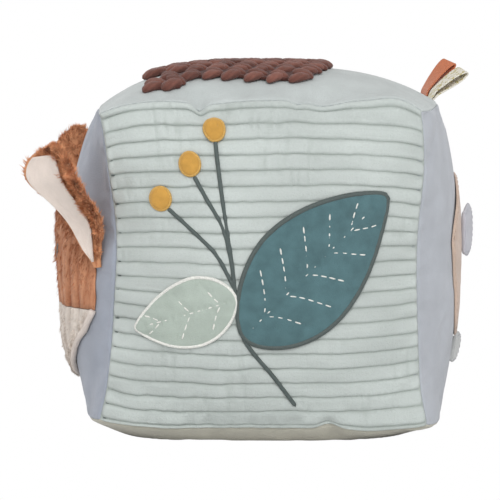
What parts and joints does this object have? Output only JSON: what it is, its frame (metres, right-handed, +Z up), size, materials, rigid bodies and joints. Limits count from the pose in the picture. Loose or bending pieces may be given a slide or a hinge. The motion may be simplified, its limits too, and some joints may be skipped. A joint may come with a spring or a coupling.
{
  "type": "soft fabric block",
  "caption": "Stuffed cloth cube for a baby, with a corduroy front, leaf design, plush animal head with loose ears, knitted patch, ribbon loops and a rattle inside.",
  "frame": {"origin": "middle of the flat patch under the bottom panel that the block rests on", "axes": "+Z up, the corduroy front faces -Y, the plush head is on the -X side, the bloom on the +X side"},
  "size_m": [0.2136, 0.18, 0.1718],
  "materials": {
    "corduroy": "ribbed corduroy pile",
    "back_velour": "short matt pile",
    "left_velour": "short matt pile",
    "right_velour": "short matt pile",
    "top_velour": "short matt pile",
    "bottom_cloth": "plain matt weave",
    "fibre_filling": "loose polyester fibre",
    "capsule_plastic": "moulded, satin",
    "ball_plastic": "moulded, glossy",
    "teal_velour": "short matt pile",
    "sage_velour": "short matt pile",
    "mustard_felt": "matt felt",
    "brown_plush": "plush pile",
    "cream_plush": "short plush pile",
    "ear_plush": "plush pile",
    "ear_lining_cloth": "soft matt cloth",
    "peach_velour": "short matt pile",
    "lilac_velour": "short matt pile",
    "grey_velour": "short matt pile",
    "brown_knit": "thick knitted yarn",
    "terracotta_ribbon": "woven ribbon, slight sheen",
    "printed_ribbon": "woven ribbon, slight sheen",
    "dark_thread": "twisted sewing thread",
    "white_thread": "twisted sewing thread"
  },
  "bodies": {
    "block": {"front_panel": "corduroy", "back_panel": "back_velour", "left_panel": "left_velour", "right_panel": "right_velour", "top_panel": "top_velour", "bottom_panel": "bottom_cloth", "filling_lower_half": "fibre_filling", "filling_upper_half": "fibre_filling", "rattle_shell_lower": "capsule_plastic", "rattle_shell_upper": "capsule_plastic", "large_leaf_patch": "teal_velour", "small_leaf_patch": "sage_velour", "berry_patch_1": "mustard_felt", "berry_patch_2": "mustard_felt", "berry_patch_3": "mustard_felt", "head_pad": "brown_plush", "muzzle_pad": "cream_plush", "bloom_patch": "peach_velour", "knit_patch": "brown_knit"},
    "near_ear": {"near_ear_back": "ear_plush", "near_ear_lining": "ear_lining_cloth"},
    "far_ear": {"far_ear_back": "ear_plush", "far_ear_lining": "ear_lining_cloth"},
    "ribbon_plain": {"ribbon_loop_plain": "terracotta_ribbon"},
    "ribbon_printed": {"ribbon_loop_printed": "printed_ribbon"},
    "upper_petal": {"upper_petal": "lilac_velour"},
    "lower_petal": {"lower_petal": "grey_velour"},
    "rattle_ball": {"rattle_ball": "ball_plastic"}
  },
  "joints": [
    {"name": "near_ear_flop", "type": "hinge", "parent": "block", "child": "near_ear", "pos_m": [-0.0747, -0.06103, 0.07818], "axis": [0.8022, -0.5903, 0.0898], "range_deg": [-10, 90], "stiffness_Nm_per_rad": 0.006},
    {"name": "far_ear_flop", "type": "hinge", "parent": "block", "child": "far_ear", "pos_m": [-0.07449, 0.06099, 0.08302], "axis": [-0.5491, -0.8348, -0.041], "range_deg": [-10, 90], "stiffness_Nm_per_rad": 0.006},
    {"name": "ribbon_plain_flop", "type": "hinge", "parent": "block", "child": "ribbon_plain", "pos_m": [0.07969, 0.04464, 0.15114], "axis": [-0.1858, 0.9807, -0.0608], "range_deg": [-60, 60], "stiffness_Nm_per_rad": 0.002},
    {"name": "ribbon_printed_flop", "type": "hinge", "parent": "block", "child": "ribbon_printed", "pos_m": [0.08179, 0.03168, 0.15182], "axis": [-0.1331, 0.9901, -0.0436], "range_deg": [-60, 60], "stiffness_Nm_per_rad": 0.002},
    {"name": "upper_petal_lift", "type": "hinge", "parent": "block", "child": "upper_petal", "pos_m": [0.09604, -0.00565, 0.08965], "axis": [0.0179, 0.0009, -0.9998], "range_deg": [-12, 130], "stiffness_Nm_per_rad": 0.003},
    {"name": "lower_petal_lift", "type": "hinge", "parent": "block", "child": "lower_petal", "pos_m": [0.09034, -0.00424, 0.02963], "axis": [-0.1891, -0.0033, -0.982], "range_deg": [-12, 130], "stiffness_Nm_per_rad": 0.002},
    {"name": "rattle_ball_slide", "type": "slide", "parent": "block", "child": "rattle_ball", "axis": [0, 0, 1], "range_m": [0, 0.0222]}
  ]
}
